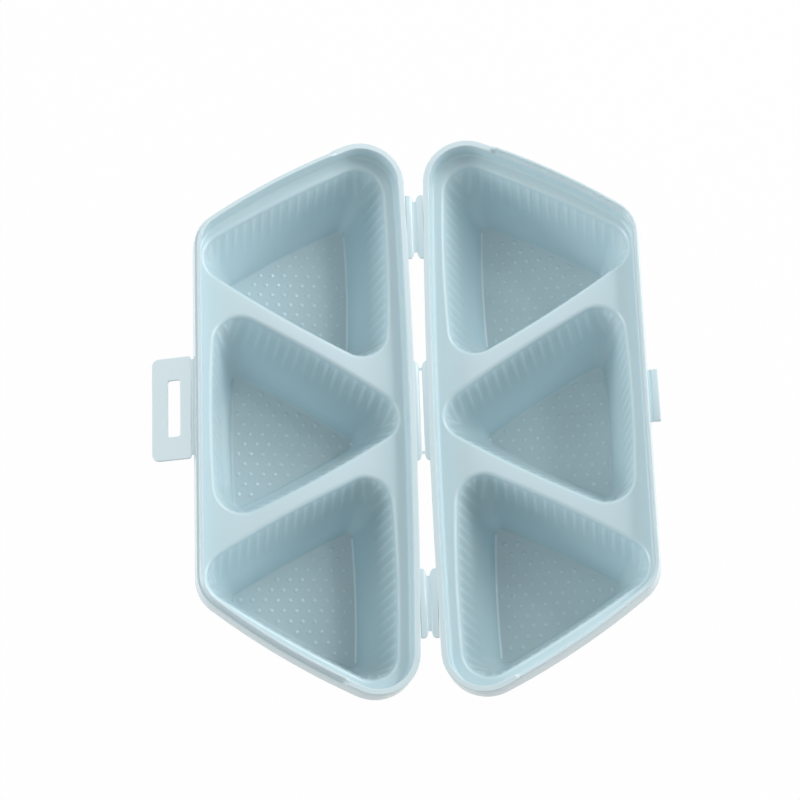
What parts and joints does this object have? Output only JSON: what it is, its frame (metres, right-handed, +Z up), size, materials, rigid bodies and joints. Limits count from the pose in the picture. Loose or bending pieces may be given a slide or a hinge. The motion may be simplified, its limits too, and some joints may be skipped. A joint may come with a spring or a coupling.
{
  "type": "rice ball mould",
  "caption": "Hinged plastic mould for triangular rice balls: two matching trays of tapered cups that fold together on living hinges and close with a slotted latch flap.",
  "frame": {"origin": "on the table, below the middle of the open mould's box; the hinge axis is 5.9 mm to its right and 39.8 mm above it", "axes": "+Y along the hinge, away from a user who has the latch flap on the left; +X towards the tray with the catch bar; +Z up"},
  "size_m": [0.1878, 0.2162, 0.0543],
  "materials": {
    "mould_plastic": "pale blue, slightly translucent polypropylene with a soft gloss"
  },
  "bodies": {
    "left_tray": {"left_tray_frame": "mould_plastic", "left_cup_front": "mould_plastic", "left_cup_middle": "mould_plastic", "left_cup_back": "mould_plastic", "left_leaf_front": "mould_plastic", "left_leaf_middle": "mould_plastic", "left_leaf_back": "mould_plastic", "hinge_film_front": "mould_plastic", "hinge_bridge_front": "mould_plastic", "hinge_bridge_back": "mould_plastic", "hinge_film_back": "mould_plastic", "latch_root_leaf": "mould_plastic", "latch_film": "mould_plastic"},
    "right_tray": {"right_tray_frame": "mould_plastic", "right_cup_front": "mould_plastic", "right_cup_middle": "mould_plastic", "right_cup_back": "mould_plastic", "right_leaf_front": "mould_plastic", "right_leaf_middle": "mould_plastic", "right_leaf_back": "mould_plastic", "catch_bar": "mould_plastic"},
    "latch": {"latch_flap": "mould_plastic"}
  },
  "joints": [
    {"name": "main_hinge", "type": "hinge", "parent": "left_tray", "child": "right_tray", "pos_m": [0.00592, 0, 0.03981], "axis": [0, -1, 0], "range_deg": [-18.42, 161.58]},
    {"name": "latch_hinge", "type": "hinge", "parent": "left_tray", "child": "latch", "pos_m": [-0.07864, 0, 0.05129], "axis": [0, 1, 0], "range_deg": [-60, 113.2]}
  ]
}
